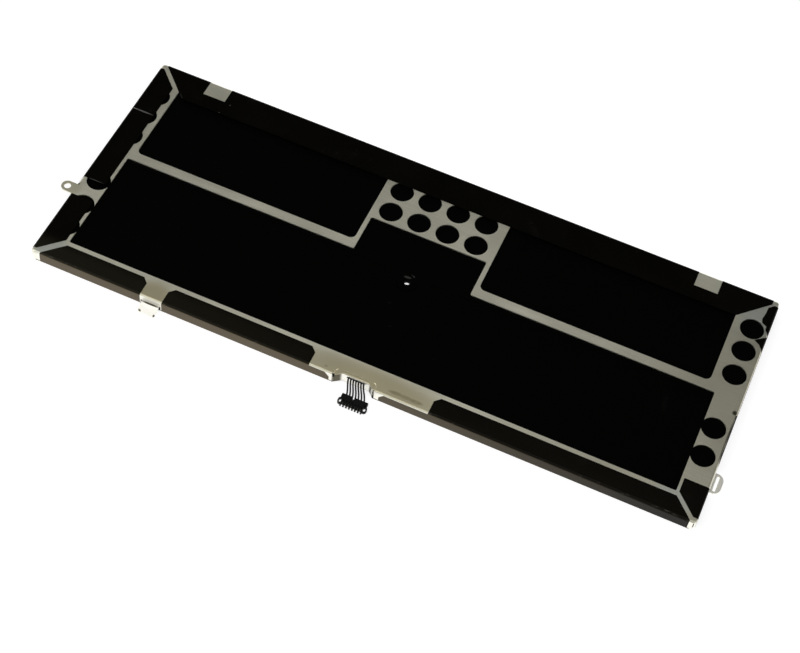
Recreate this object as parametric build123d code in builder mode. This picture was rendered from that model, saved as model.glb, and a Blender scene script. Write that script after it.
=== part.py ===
"""Flat laptop battery: a stamped steel tray over four pouch cells, wrapped from below in black film.

Millimetres. The origin is on the axis of the screw hole, at the underside. +X runs along the tray,
-Y is the side with the leads and +Z is up, out of the steel face.
"""
import os
from math import radians, sqrt, tan
from build123d import *

os.makedirs("parts", exist_ok=True)

# Steel tray
tray_length = 245.0
tray_width = 99.0
tray_shift = 0.1  # middle of the tray, to the right of the screw hole
tray_setback = 2.5  # middle of the tray, behind the screw hole
wall_height = 4.3  # foot of the wall to the steel face
sheet = 0.5
bend_inside = 0.2  # inner radius of the bend between the face and a wall
corner_inside = 0.7
corner_relief = 0.9  # open corner between two walls

# Windows of the tray
upper_left_band = 11.6
upper_right_band = 12.95
lower_left_band = 10.1
lower_right_band = 9.9
back_band = 7.0
front_band = 9.0
bar_setback = 4.85  # front edge of the cross bars, behind the screw hole
bar_width = 3.75
block_left_margin = 2.6  # steel beside the grid of holes
block_right_margin = 3.6
block_front_margin = 0.9
leg_width = 1.65
upper_window_radius = 2.2
lower_window_radius = 0.6

# Round holes of the tray: a column on each side and a grid in the middle block
hole_diameter = 8.7
side_hole_inset = 5.95
back_hole_webs = (11.4, 1.65, 2.3)  # steel behind each hole, from the tray's back edge forwards
front_hole_webs = (10.85, 1.8, 3.4)  # steel in front of each hole, from the front edge backwards
right_front_holes = 2  # the right column leaves out the foremost hole
grid_row_count = 2
grid_columns = 4
grid_web = 2.35
grid_offset = -0.85

# Left ear, level with the steel face
ear_reach = 5.0
ear_width = 4.5
ear_inset = 30.8  # behind the tray's front edge
ear_hole_diameter = 2.5
ear_relief = 0.8

# Right lug, bent out at the foot of the wall
lug_reach = 3.6
lug_radius = 2.7
lug_flat = 2.6  # straight stretch between the lug's two round corners
lug_inset = 19.8  # behind the tray's front edge
lug_slot_width = 1.0
lug_slot_margin = 1.6  # steel between the slot and the lug's outer edge
lug_slot_side = 0.9  # steel beyond each end of the slot

# Front foot, bent out of the wall and sloping down to the underside
foot_inset = 46.5  # from the tray's left edge
foot_width = 6.6
foot_reach = 4.0
foot_root = 1.5  # height of its bend above the underside
foot_radius = 1.0
foot_relief = 0.5  # open wall at each end of the bend
hollow_bend = 0.6  # between a wall and its foot or lug

# Lead exit: a shallow recess in the face, and a pocket drawn into the front wall with two slanted cheeks
exit_x = 0.45
exit_width = 15.2
exit_depth = 3.3
exit_recess = 0.2
exit_radius = 1.8
pocket_x = 0.6
pocket_width = 10.0  # back wall of the pocket
pocket_depth = 1.9
pocket_bend = 0.4
left_cheek = 2.7  # how far a cheek spreads sideways from the back wall to the front
right_cheek = 1.9
cheek_relief = 0.9  # diameter of the round relief at the front end of each cheek
cheek_relief_inset = 0.35  # its middle, behind the front wall's face
lead_slot_clearance = 0.15  # round the leads in the pocket's back wall

# Wrap film and its flaps
film = 0.1
film_edge = 0.05  # film's cut edge on a bare bend, below the underside of the steel face
side_flap = 8.9
front_flap = 7.3
back_flap = 12.7
back_side_mitre = 0.95  # bare steel between each corner's diagonal and the flap beside it
front_side_mitre = 0.3
back_left_mitre = 1.4
back_right_mitre = 0.3
front_left_mitre = 3.1
front_right_mitre = 1.9
back_left_corner = (2.3, 2.6)  # bare wall at each corner, along the tray's length and along its width
back_right_corner = (2.4, 2.4)
front_left_corner = (3.5, 1.7)
front_right_corner = (2.4, 2.1)
bottom_corner = 1.7  # trimmed off each corner of the underside
flap_chamfer = 2.0
flap_radius = 2.0
foot_opening = 8.3
bare_left = 16.1  # bare steel over the board, from the middle
bare_right = 27.6
slit_inset = 24.9  # in front of the tray's back edge
slit_width = 0.2
ear_opening_clearance = 0.1  # in front of the ear
ear_opening_reach = 4.2  # behind the ear
notch_left_inset = 24.45
notch_right_inset = 26.05
film_notch_width = 8.9
film_notch_depth = 6.8
lug_opening = 10.0
film_exit_left = 1.45  # bare wall beside the lead exit
film_exit_right = 1.75
film_exit_knee = 1.9
film_exit_slant = 1.7
film_boss_clearance = 0.5

# Torn edge of the right flap: inset from the right edge, distance in front of the back edge
back_scrap_inset = 3.3
back_scrap_edge = ((3.4, 6.9), (3.9, 9.8), (3.5, 11.5), (1.7, 12.4), (1.5, 14.1), (0.0, 15.9))
middle_scrap_edge = ((0.0, 16.7), (0.9, 17.5), (3.9, 19.9), (1.8, 21.1), (0.0, 23.4))
front_scrap_edge = (
    (0.0, 52.6),
    (0.5, 53.3),
    (0.2, 55.0),
    (0.4, 60.0),
    (0.15, 66.0),
    (0.35, 70.0),
    (0.0, 73.8),
)

# Pouch cells
cell_side_clearance = 0.4  # between a folded seam and what lies beside it
cell_spacing = 1.0
cell_overlap = 0.6  # how far a cell reaches under the front band
upper_cell_inset = 2.6  # how far an upper cell's inner end lies outside the block
pouch_corner = 1.5
pouch_edge = 1.0
seal_depth = 3.0
seal_thickness = 0.35
seal_margin = 4.0
fold_thickness = 0.4
fold_clearance = 0.2

# Cell tabs
tab_thickness = 0.12
tab_width = 5.0
lower_tab_length = 3.0
lower_tab_first = 18.0
lower_tab_pitch = 12.0
upper_tab_length = 5.5
upper_tab_spread = 21.5

# Centre carrier with the screw boss
screw_hole_diameter = 2.3
head_recess_diameter = 5.4
head_web = 2.05  # plastic that the screw's head bears on
head_seat_slope = 0.3  # sloped edge round the bottom of the head's recess
boss_diameter = 7.5
boss_rise = 0.2  # boss above the cover tape
carrier_clearance = 0.5
carrier_rib = 2.0
rib_clearance = 1.0  # between the strip and the ribs beside it

# Circuit parts
board_headroom = 1.15  # between the board and the paper over it
board_margin = 1.5
board_thickness = 0.6
board_clearance = 0.2
board_gap = 0.5
flex_thickness = 0.15
flex_neck_width = 7.0
flex_ring_wall = 0.75
flex_boss_clearance = 0.3
flex_spine_width = 16.0
flex_arm_width = 8.0
flex_arm_margin = 2.0
flex_board_overlap = 1.0
insulator_thickness = 0.15
insulator_margin = 0.8
tape_thickness = 0.08
tape_clearance = 0.02  # between the tape and the steel
tape_overlap = 3.0
tape_boss_clearance = 0.1
controller_size = (4.4, 3.0, 0.9)
switch_size = (3.2, 3.2, 0.85)
fuse_size = (4.0, 2.8, 0.8)
resistor_size = (1.6, 3.2, 0.55)
capacitor_size = (1.0, 0.5, 0.5)
capacitor_count = 4
capacitor_pitch = 0.95
end_part_gap = 1.0  # between the outermost tab and the small part beside it

# Leads
lead_count = 7
lead_diameter = 0.6
lead_sides = 10
lead_board_pitch = 0.92
lead_plug_pitch = 1.08
lead_x = 0.45
lead_flex_clearance = 0.2
lead_lift = 0.12  # solder under a lead, on the board
lead_bend = 0.35  # in front of the pocket's back wall
lead_entry_run = 0.75
lead_arc_share = 0.45

# Plug
plug_x = 2.95
plug_gap = 3.4  # in front of the tray
plug_wall = 0.4
plug_floor = 0.45
plug_roof = 0.45
plug_depth = 4.4
plug_shoulder = 0.75  # back part of the plug, beyond each side
plug_back_depth = 1.5
plug_edge = 0.15
lead_clearance = 0.05  # round a lead in its channel
lead_grip = 0.9  # length of lead held in the plug
contact_width = 0.5
contact_thickness = 0.3
contact_setback = 1.0
comb_width = 0.55  # gap between two teeth at the front edge
comb_depth = 0.85
peep_width = 0.42  # opening in the roof over each contact
peep_length = 0.5
peep_setback = 1.75
loop_reach = 1.3
loop_length = 2.4
loop_wall = 0.42
loop_height = 1.1
loop_radius = 0.9
back_notch_width = 0.9  # open back edge between two leads
back_notch_depth = 0.95

# Levels and edges that follow
bend_radius = bend_inside + sheet
corner_radius = corner_inside + sheet
plate_top = film + wall_height
plate_under = plate_top - sheet
cell_top = plate_under - tape_clearance - tape_thickness
circuit_level = plate_under - insulator_thickness - board_headroom
board_bottom = circuit_level - board_thickness
left_x = tray_shift - tray_length / 2
right_x = tray_shift + tray_length / 2
front_y = tray_setback - tray_width / 2
back_y = tray_setback + tray_width / 2
window_front = front_y + front_band
window_back = back_y - back_band
bar_back = bar_setback + bar_width
back_hole_rows = [
    back_y - sum(back_hole_webs[: n + 1]) - (n + 0.5) * hole_diameter for n in range(len(back_hole_webs))
]
front_hole_rows = [
    front_y + sum(front_hole_webs[: n + 1]) + (n + 0.5) * hole_diameter for n in range(len(front_hole_webs))
]
grid_rows = back_hole_rows[:grid_row_count]
grid_pitch = hole_diameter + grid_web
grid_half = ((grid_columns - 1) * grid_pitch + hole_diameter) / 2
block_left = grid_offset - grid_half - block_left_margin
block_right = grid_offset + grid_half + block_right_margin
block_front = grid_rows[-1] - hole_diameter / 2 - block_front_margin
ear_row = front_y + ear_inset
lug_row = front_y + lug_inset
lug_width = 2 * lug_radius + lug_flat
ear_hole_x = left_x - ear_reach + ear_width / 2
lug_slot_x = right_x + lug_reach - lug_slot_margin - lug_slot_width / 2
foot_x = left_x + foot_inset
exit_left = exit_x - exit_width / 2
exit_right = exit_x + exit_width / 2
recess_top = plate_top - exit_recess
pocket_left = pocket_x - pocket_width / 2
pocket_right = pocket_x + pocket_width / 2
pocket_back = front_y + pocket_depth
mouth_left = pocket_left - left_cheek
mouth_right = pocket_right + right_cheek
lead_level = circuit_level + lead_lift + lead_diameter / 2
lead_row = (lead_count - 1) * lead_board_pitch + lead_diameter
beyond = 2.0  # how far a cutting shape runs past the faces it cuts
out_left = left_x - beyond
out_right = right_x + beyond
out_front = front_y - beyond
out_back = back_y + beyond
pocket_points = (
    (mouth_left, out_front),
    (mouth_left, front_y),
    (pocket_left, pocket_back),
    (pocket_right, pocket_back),
    (mouth_right, front_y),
    (mouth_right, out_front),
)


def pan_block(length, width, bottom, top, corner, bend):
    """A flat block with round corners whose upper edges are rounded like a bent sheet."""
    with BuildPart() as block:
        with BuildSketch(Plane.XY.offset(bottom)):
            with Locations((tray_shift, tray_setback)):
                RectangleRounded(length, width, corner)
        extrude(amount=top - bottom)
        fillet(block.faces().sort_by(Axis.Z)[-1].edges(), bend)
    return block.part


def pocket_block(margin, bottom, top):
    """The lead exit's pocket as a solid, grown sideways by a margin."""
    with BuildPart() as block:
        with BuildSketch(Plane.XY.offset(bottom)):
            Polygon(*pocket_points, align=None)
            if margin > 0:
                offset(amount=margin, kind=Kind.INTERSECTION)
        extrude(amount=top - bottom)
    return block.part


def span(low, high):
    """Centre and length of a stretch between two values."""
    return (low + high) / 2, high - low


def finish(piece, name):
    """Label a finished piece and write its file."""
    piece.label = name
    export_step(piece, f"parts/{name}.step")


# Steel tray
tray_outside = pan_block(tray_length, tray_width, film, plate_top, corner_radius, bend_radius)
tray_inside = pan_block(
    tray_length - 2 * sheet,
    tray_width - 2 * sheet,
    film - beyond,
    plate_under,
    corner_radius - sheet,
    bend_radius - sheet,
)

with BuildPart() as tray:
    add(tray_outside)
    add(tray_inside, mode=Mode.SUBTRACT)
    # Open corners below the face
    with BuildSketch(Plane.XY.offset(film)):
        with Locations((tray_shift, tray_setback)):
            with GridLocations(tray_length, tray_width, 2, 2):
                Rectangle(2 * corner_relief, 2 * corner_relief)
    extrude(amount=wall_height - sheet, mode=Mode.SUBTRACT)
    # Left wall left out beside the ear, with the bend cut away in the reliefs
    with BuildSketch(Plane.XY.offset(film)):
        with Locations((left_x, ear_row)):
            Rectangle(2 * bend_radius, ear_width + 2 * ear_relief)
    extrude(amount=wall_height, mode=Mode.SUBTRACT)
    # Ear with its round end
    with BuildSketch(Plane.XY.offset(plate_under)):
        with Locations(((left_x + bend_radius + ear_hole_x) / 2, ear_row)):
            Rectangle(left_x + bend_radius - ear_hole_x, ear_width)
        with Locations((ear_hole_x, ear_row)):
            Circle(ear_width / 2)
            Circle(ear_hole_diameter / 2, mode=Mode.SUBTRACT)
    extrude(amount=sheet)
    # Lug bent out at the foot of the right wall
    with BuildSketch(Plane.XZ.offset(-lug_row)) as lug_profile:
        with BuildLine():
            Polyline(
                (right_x - sheet, film),
                (right_x + lug_reach, film),
                (right_x + lug_reach, film + sheet),
                (right_x, film + sheet),
                (right_x, plate_under),
                (right_x - sheet, plate_under),
                close=True,
            )
        make_face()
        hollow = lug_profile.vertices().sort_by_distance((right_x, film + sheet))[0]
        fillet(hollow, hollow_bend)
    extrude(amount=lug_width / 2, both=True)
    lug_ends = tray.edges().filter_by(Axis.Z).group_by(Axis.X)[-1]
    fillet(lug_ends, lug_radius)
    with BuildSketch(Plane.XY.offset(film)):
        with Locations((lug_slot_x, lug_row)):
            SlotOverall(lug_width - 2 * lug_slot_side, lug_slot_width, rotation=90)
    extrude(amount=sheet, mode=Mode.SUBTRACT)
    # Foot bent out of the front wall, with the wall below it left out
    with BuildSketch(Plane.XZ.offset(-front_y)):
        relief_z, relief_height = span(film, foot_root + foot_relief)
        with Locations((foot_x, relief_z)):
            Rectangle(foot_width + 2 * foot_relief, relief_height)
    extrude(amount=sheet, both=True, mode=Mode.SUBTRACT)
    with BuildSketch(Plane.YZ.offset(foot_x)) as foot_profile:
        with BuildLine():
            Polyline(
                (front_y + sheet, foot_root - sheet),
                (front_y - foot_reach, film),
                (front_y - foot_reach, film + sheet),
                (front_y, foot_root),
                (front_y, plate_under),
                (front_y + sheet, plate_under),
                close=True,
            )
        make_face()
        hollow = foot_profile.vertices().sort_by_distance((front_y, foot_root))[0]
        fillet(hollow, hollow_bend)
    extrude(amount=foot_width / 2, both=True)
    foot_ends = tray.edges().filter_by(Axis.Z).group_by(Axis.Y)[0]
    fillet(foot_ends, foot_radius)
    # Windows and round holes
    with BuildSketch(Plane.XY.offset(plate_top)):
        for low, high in (
            (left_x + upper_left_band, block_left),
            (block_right, right_x - upper_right_band),
        ):
            window_x, window_length = span(low, high)
            window_y, window_width = span(bar_back, window_back)
            with Locations((window_x, window_y)):
                RectangleRounded(window_length, window_width, upper_window_radius)
    extrude(amount=-sheet, mode=Mode.SUBTRACT)
    with BuildSketch(Plane.XY.offset(plate_top)) as lower_window:
        with BuildLine():
            Polyline(
                (left_x + lower_left_band, window_front),
                (right_x - lower_right_band, window_front),
                (right_x - lower_right_band, bar_setback),
                (block_right - leg_width, bar_setback),
                (block_right - leg_width, block_front),
                (block_left + leg_width, block_front),
                (block_left + leg_width, bar_setback),
                (left_x + lower_left_band, bar_setback),
                close=True,
            )
        make_face()
        fillet(lower_window.vertices(), lower_window_radius)
    extrude(amount=-sheet, mode=Mode.SUBTRACT)
    with BuildSketch(Plane.XY.offset(plate_top)):
        for column, rows in (
            (left_x + side_hole_inset, back_hole_rows + front_hole_rows),
            (right_x - side_hole_inset, back_hole_rows + front_hole_rows[-right_front_holes:]),
        ):
            with Locations(*[(column, row) for row in rows]):
                Circle(hole_diameter / 2)
        for row in grid_rows:
            with Locations((grid_offset, row)):
                with GridLocations(grid_pitch, grid_pitch, grid_columns, 1):
                    Circle(hole_diameter / 2)
    extrude(amount=-sheet, mode=Mode.SUBTRACT)
    # Recess over the leads: steel pushed down by its depth, with sloped sides
    with BuildSketch(Plane.XY.offset(plate_under)):
        with Locations((exit_x, front_y + exit_depth / 2)):
            Rectangle(exit_width, exit_depth)
    extrude(amount=-exit_recess)
    with BuildSketch(Plane.XY.offset(plate_top)) as recess_mouth:
        recess_y, recess_length = span(front_y - beyond, front_y + exit_depth)
        with Locations((exit_x, recess_y)):
            Rectangle(exit_width, recess_length)
        fillet(recess_mouth.vertices().group_by(Axis.Y)[-1], exit_radius)
    extrude(amount=-exit_recess, taper=45, mode=Mode.SUBTRACT)
    # Pocket in the front wall: its own walls, then the room inside it
    add(pocket_block(sheet, film, plate_under))
    with BuildSketch(Plane.XY.offset(film)):
        apron_x, apron_length = span(mouth_left - beyond, mouth_right + beyond)
        apron_y, apron_width = span(out_front - beyond, front_y)
        with Locations((apron_x, apron_y)):
            Rectangle(apron_length, apron_width)
    extrude(amount=wall_height, mode=Mode.SUBTRACT)
    add(pocket_block(0, film - beyond, plate_top + beyond), mode=Mode.SUBTRACT)
    pocket_edges = tray.edges().filter_by(Axis.X)
    fillet(pocket_edges.sort_by_distance((pocket_x, pocket_back, recess_top))[0], pocket_bend)
    # Slot for the leads in the pocket's back wall
    with BuildSketch(Plane.XZ.offset(-pocket_back)):
        with Locations((lead_x, lead_level)):
            Rectangle(lead_row + 2 * lead_slot_clearance, lead_diameter + 2 * lead_slot_clearance)
    extrude(amount=-sheet, mode=Mode.SUBTRACT)
    # Relief at the front end of each cheek, and the open wall beside the right one
    with BuildSketch(Plane.XY.offset(plate_top)):
        relief_y = front_y + cheek_relief_inset
        with Locations((mouth_left, relief_y), (mouth_right, relief_y)):
            Circle(cheek_relief / 2)
    extrude(amount=-sheet - exit_recess - cheek_relief, mode=Mode.SUBTRACT)
    with BuildSketch(Plane.XY.offset(film)):
        gap_x, gap_length = span(mouth_right, exit_right)
        with Locations((gap_x, front_y)):
            Rectangle(gap_length, 2 * sheet)
    extrude(amount=recess_top - sheet - film, mode=Mode.SUBTRACT)

finish(tray.part, "tray")

# Wrap film: a skin round the tray's outside, opened where the steel is bare
film_outside = pan_block(
    tray_length + 2 * film,
    tray_width + 2 * film,
    0,
    plate_top + film,
    corner_radius + film,
    bend_radius + film,
)
fold_level = plate_under - film_edge
foot_opening_left = foot_x - foot_opening / 2
foot_opening_right = foot_x + foot_opening / 2
notch_left_x = left_x + notch_left_inset
notch_right_x = right_x - notch_right_inset


def mitre(inset, bare):
    """How far along an edge a flap's mitre lies from the corner, for an inset from that edge."""
    return inset + bare


left_flap_points = (
    (out_left, back_y - mitre(-beyond, back_side_mitre)),
    (left_x + side_flap, back_y - mitre(side_flap, back_side_mitre)),
    (left_x + side_flap, front_y + mitre(side_flap, front_side_mitre)),
    (out_left, front_y + mitre(-beyond, front_side_mitre)),
)
back_flap_points = (
    (left_x + mitre(-beyond, back_left_mitre), out_back),
    (left_x + mitre(back_flap, back_left_mitre), back_y - back_flap),
    (right_x - mitre(back_flap, back_right_mitre), back_y - back_flap),
    (right_x - mitre(-beyond, back_right_mitre), out_back),
)
front_left_points = (
    (left_x + mitre(-beyond, front_left_mitre), out_front),
    (left_x + mitre(front_flap, front_left_mitre), front_y + front_flap),
    (foot_opening_left - flap_chamfer, front_y + front_flap),
    (foot_opening_left, front_y + front_flap - flap_chamfer),
    (foot_opening_left, out_front),
)
front_middle_points = (
    (foot_opening_right, out_front),
    (foot_opening_right, front_y + front_flap - flap_chamfer),
    (foot_opening_right + flap_chamfer, front_y + front_flap),
    (-bare_left - flap_chamfer, front_y + front_flap),
    (-bare_left, front_y + front_flap - flap_chamfer),
    (-bare_left, out_front),
)
front_right_points = (
    (bare_right, out_front),
    (bare_right, front_y + front_flap - flap_chamfer),
    (bare_right + flap_chamfer, front_y + front_flap),
    (right_x - mitre(front_flap, front_right_mitre), front_y + front_flap),
    (right_x - mitre(-beyond, front_right_mitre), out_front),
)
# What the torn right flap left behind: three ragged scraps and a cut end at the front


def scrap_points(torn_edge):
    """Outline of a scrap on the right edge, from its torn edge."""
    return (
        (out_right, back_y - torn_edge[0][1]),
        *[(right_x - inset, back_y - row) for inset, row in torn_edge],
        (out_right, back_y - torn_edge[-1][1]),
    )


back_scrap_points = (
    (out_right, back_y - mitre(-beyond, back_side_mitre)),
    (right_x - back_scrap_inset, back_y - mitre(back_scrap_inset, back_side_mitre)),
    *scrap_points(back_scrap_edge)[1:],
)
remnant_cut = lug_row - lug_opening / 2
front_remnant_points = (
    (out_right, remnant_cut),
    (right_x - side_flap, remnant_cut),
    (right_x - side_flap, front_y + mitre(side_flap, front_side_mitre)),
    (out_right, front_y + mitre(-beyond, front_side_mitre)),
)

with BuildPart() as wrap_film:
    add(film_outside)
    add(tray_outside, mode=Mode.SUBTRACT)
    # Everything above the fold that no flap covers
    with BuildSketch(Plane.XY.offset(fold_level)):
        with Locations((tray_shift, tray_setback)):
            Rectangle(tray_length + 2 * beyond, tray_width + 2 * beyond)
        for flap_points in (
            left_flap_points,
            front_left_points,
            front_middle_points,
            front_right_points,
            back_scrap_points,
            scrap_points(middle_scrap_edge),
            scrap_points(front_scrap_edge),
            front_remnant_points,
        ):
            Polygon(*flap_points, align=None, mode=Mode.SUBTRACT)
        with BuildLine():
            FilletPolyline(*back_flap_points, radius=flap_radius)
            Line(back_flap_points[-1], back_flap_points[0])
        make_face(mode=Mode.SUBTRACT)
        # Slit across the left flap, and its opening at the ear
        with Locations((left_x, back_y - slit_inset)):
            Rectangle(2 * side_flap + 2 * beyond, slit_width)
        ear_opening_front = ear_row - ear_width / 2 - ear_opening_clearance
        ear_opening_back = ear_row + ear_width / 2 + ear_opening_reach
        ear_opening_y, ear_opening_width = span(ear_opening_front, ear_opening_back)
        with Locations((left_x, ear_opening_y)):
            Rectangle(2 * side_flap + 2 * beyond, ear_opening_width)
    extrude(amount=plate_top, mode=Mode.SUBTRACT)
    # Walls left bare: corners, front foot, back notches and right lug
    with BuildSketch(Plane.XY.offset(film)):
        for corner, opening in (
            ((left_x, back_y), back_left_corner),
            ((right_x, back_y), back_right_corner),
            ((left_x, front_y), front_left_corner),
            ((right_x, front_y), front_right_corner),
        ):
            with Locations(corner):
                Rectangle(2 * opening[0], 2 * opening[1])
        with Locations((foot_x, front_y)):
            Rectangle(foot_opening, 2 * bend_radius)
        with Locations((notch_left_x, back_y), (notch_right_x, back_y)):
            Rectangle(film_notch_width, 2 * film_notch_depth)
        with Locations((right_x, lug_row)):
            Rectangle(2 * bend_radius, lug_opening)
    extrude(amount=plate_top, mode=Mode.SUBTRACT)
    # Front wall left bare at the lead exit, with slanted ends
    with BuildSketch(Plane.XZ.offset(-front_y)):
        Polygon(
            (exit_left - film_exit_left, film),
            (exit_right + film_exit_right, film),
            (exit_right + film_exit_right, film_exit_knee),
            (exit_right + film_exit_right + film_exit_slant, fold_level),
            (exit_left - film_exit_left - film_exit_slant, fold_level),
            (exit_left - film_exit_left, film_exit_knee),
            align=None,
        )
    extrude(amount=bend_radius, both=True, mode=Mode.SUBTRACT)
    # Underside: open in the pocket and at the boss, with trimmed corners
    add(pocket_block(0, -beyond, plate_top), mode=Mode.SUBTRACT)
    with BuildSketch():
        Circle(boss_diameter / 2 + film_boss_clearance)
        with Locations((tray_shift, tray_setback)):
            with GridLocations(tray_length, tray_width, 2, 2):
                Rectangle(bottom_corner * sqrt(2), bottom_corner * sqrt(2), rotation=45)
    extrude(amount=film, mode=Mode.SUBTRACT)

finish(wrap_film.part, "wrap_film")

# Pouch cells
cell_left = left_x + sheet + cell_side_clearance + fold_thickness
cell_right = right_x - sheet - cell_side_clearance - fold_thickness
cell_back = back_y - sheet - fold_clearance - fold_thickness
cell_front = window_front - cell_overlap
row_split = bar_setback + bar_width / 2
flex_opening = boss_diameter / 2 + flex_boss_clearance
lower_seam = flex_opening + flex_ring_wall + fold_clearance
lower_inner = lower_seam + fold_thickness
lower_back = row_split - cell_spacing / 2
upper_front = row_split + cell_spacing / 2
upper_left_inner = block_left - upper_cell_inset
upper_right_inner = block_right + upper_cell_inset
seal_bottom = circuit_level - (seal_thickness - flex_thickness) / 2
fold_bottom = film + pouch_edge
fold_height = cell_top - film - 2 * pouch_edge


def lower_cell(low_x, high_x):
    """Cell with its tab seal at the front and a folded seam on both ends."""
    middle_x, length = span(low_x, high_x)
    middle_y, width = span(cell_front, lower_back)
    with BuildPart() as cell:
        with BuildSketch(Plane.XY.offset(film)) as plan:
            with Locations((middle_x, middle_y)):
                Rectangle(length, width)
            chamfer(plan.vertices(), pouch_corner)
        extrude(amount=cell_top - film)
        chamfer(cell.faces().filter_by(Axis.Z).edges(), pouch_edge)
        with BuildSketch(Plane.XY.offset(seal_bottom)):
            with Locations((middle_x, cell_front - seal_depth / 2 + pouch_edge / 2)):
                Rectangle(length - 2 * seal_margin, seal_depth + pouch_edge)
        extrude(amount=seal_thickness)
        with BuildSketch(Plane.XY.offset(fold_bottom)):
            with Locations((low_x, middle_y), (high_x, middle_y)):
                Rectangle(2 * fold_thickness, width - 2 * seal_margin)
        extrude(amount=fold_height)
    return cell.part


def upper_cell(outer_x, inner_x):
    """Cell with its tab seal at the inner end and a folded seam on both long sides."""
    low_x = min(outer_x, inner_x)
    high_x = max(outer_x, inner_x)
    inward = 1 if inner_x > outer_x else -1
    middle_x, length = span(low_x, high_x)
    middle_y, width = span(upper_front, cell_back)
    with BuildPart() as cell:
        with BuildSketch(Plane.XY.offset(film)) as plan:
            with Locations((middle_x, middle_y)):
                Rectangle(length, width)
            chamfer(plan.vertices(), pouch_corner)
        extrude(amount=cell_top - film)
        chamfer(cell.faces().filter_by(Axis.Z).edges(), pouch_edge)
        with BuildSketch(Plane.XY.offset(seal_bottom)):
            with Locations((inner_x + inward * (seal_depth - pouch_edge) / 2, middle_y)):
                Rectangle(seal_depth + pouch_edge, width - 2 * seal_margin)
        extrude(amount=seal_thickness)
        with BuildSketch(Plane.XY.offset(fold_bottom)):
            with Locations((middle_x, upper_front), (middle_x, cell_back)):
                Rectangle(length - 2 * seal_margin, 2 * fold_thickness)
        extrude(amount=fold_height)
    return cell.part


finish(lower_cell(cell_left, -lower_inner), "lower_left_cell")
finish(lower_cell(lower_inner, cell_right), "lower_right_cell")
finish(upper_cell(cell_left, upper_left_inner), "upper_left_cell")
finish(upper_cell(cell_right, upper_right_inner), "upper_right_cell")

# Cell tabs: the lower ones lie on the board, the upper ones on the flexible strip
upper_middle, upper_width = span(upper_front, cell_back)
upper_tab_rows = (upper_middle - upper_tab_spread / 2, upper_middle + upper_tab_spread / 2)
lower_tab_columns = (lower_tab_first, lower_tab_first + lower_tab_pitch)
seal_front = cell_front - seal_depth
seal_left = upper_left_inner + seal_depth
seal_right = upper_right_inner - seal_depth
flex_top = circuit_level + flex_thickness


def tab(x, y, length_x, length_y, level):
    """Thin metal strip lying flat at a level."""
    with BuildPart() as strip:
        with BuildSketch(Plane.XY.offset(level)):
            with Locations((x, y)):
                Rectangle(length_x, length_y)
        extrude(amount=tab_thickness)
    return strip.part


polarities = ("negative", "positive")
lower_tab_y = seal_front - lower_tab_length / 2
for polarity, column in zip(polarities, lower_tab_columns):
    for side, x in (("left", -column), ("right", column)):
        lower_tab = tab(x, lower_tab_y, tab_width, lower_tab_length, circuit_level)
        finish(lower_tab, f"lower_{side}_{polarity}_tab")
upper_left_tab_x = seal_left + upper_tab_length / 2
upper_right_tab_x = seal_right - upper_tab_length / 2
for polarity, row in zip(polarities, upper_tab_rows):
    for side, x in (("left", upper_left_tab_x), ("right", upper_right_tab_x)):
        upper_tab = tab(x, row, upper_tab_length, tab_width, flex_top)
        finish(upper_tab, f"upper_{side}_{polarity}_tab")

# Centre carrier: a floor between the cells, ribs under the tape, and the screw boss
board_front = front_y + sheet + board_clearance
board_back = seal_front - board_gap
neck_front = board_back + board_clearance
neck_half = lower_seam - carrier_clearance
head_left = seal_left + carrier_clearance
head_right = seal_right - carrier_clearance
boss_top = cell_top + tape_thickness + boss_rise
floor_height = circuit_level - film
rib_height = cell_top - circuit_level

with BuildPart() as centre_carrier:
    with BuildSketch(Plane.XY.offset(film)):
        neck_y, neck_length = span(neck_front, upper_front)
        with Locations((0, neck_y)):
            Rectangle(2 * neck_half, neck_length)
        head_x, head_length = span(head_left, head_right)
        with Locations((head_x, upper_middle)):
            Rectangle(head_length, upper_width)
    extrude(amount=floor_height)
    # Ribs at the front, middle and back of the head, open in the middle for the strip
    with BuildSketch(Plane.XY.offset(circuit_level)):
        rib_rows = (
            (upper_front + carrier_rib / 2, flex_neck_width / 2 + rib_clearance),
            (upper_middle, flex_spine_width / 2 + rib_clearance),
            (cell_back - carrier_rib / 2, 0),
        )
        for rib_y, opening in rib_rows:
            for low, high in ((head_left, -opening), (opening, head_right)):
                rib_x, rib_length = span(low, high)
                with Locations((rib_x, rib_y)):
                    Rectangle(rib_length, carrier_rib)
    extrude(amount=rib_height)
    with BuildSketch():
        Circle(boss_diameter / 2)
    extrude(amount=boss_top)
    with BuildSketch():
        Circle(screw_hole_diameter / 2)
    extrude(amount=boss_top, mode=Mode.SUBTRACT)
    recess_wall = boss_top - head_web - head_seat_slope
    with BuildSketch():
        Circle(head_recess_diameter / 2)
    extrude(amount=recess_wall, mode=Mode.SUBTRACT)
    with BuildSketch(Plane.XY.offset(recess_wall)):
        Circle(head_recess_diameter / 2)
    extrude(amount=head_seat_slope, taper=45, mode=Mode.SUBTRACT)

finish(centre_carrier.part, "centre_carrier")

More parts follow.
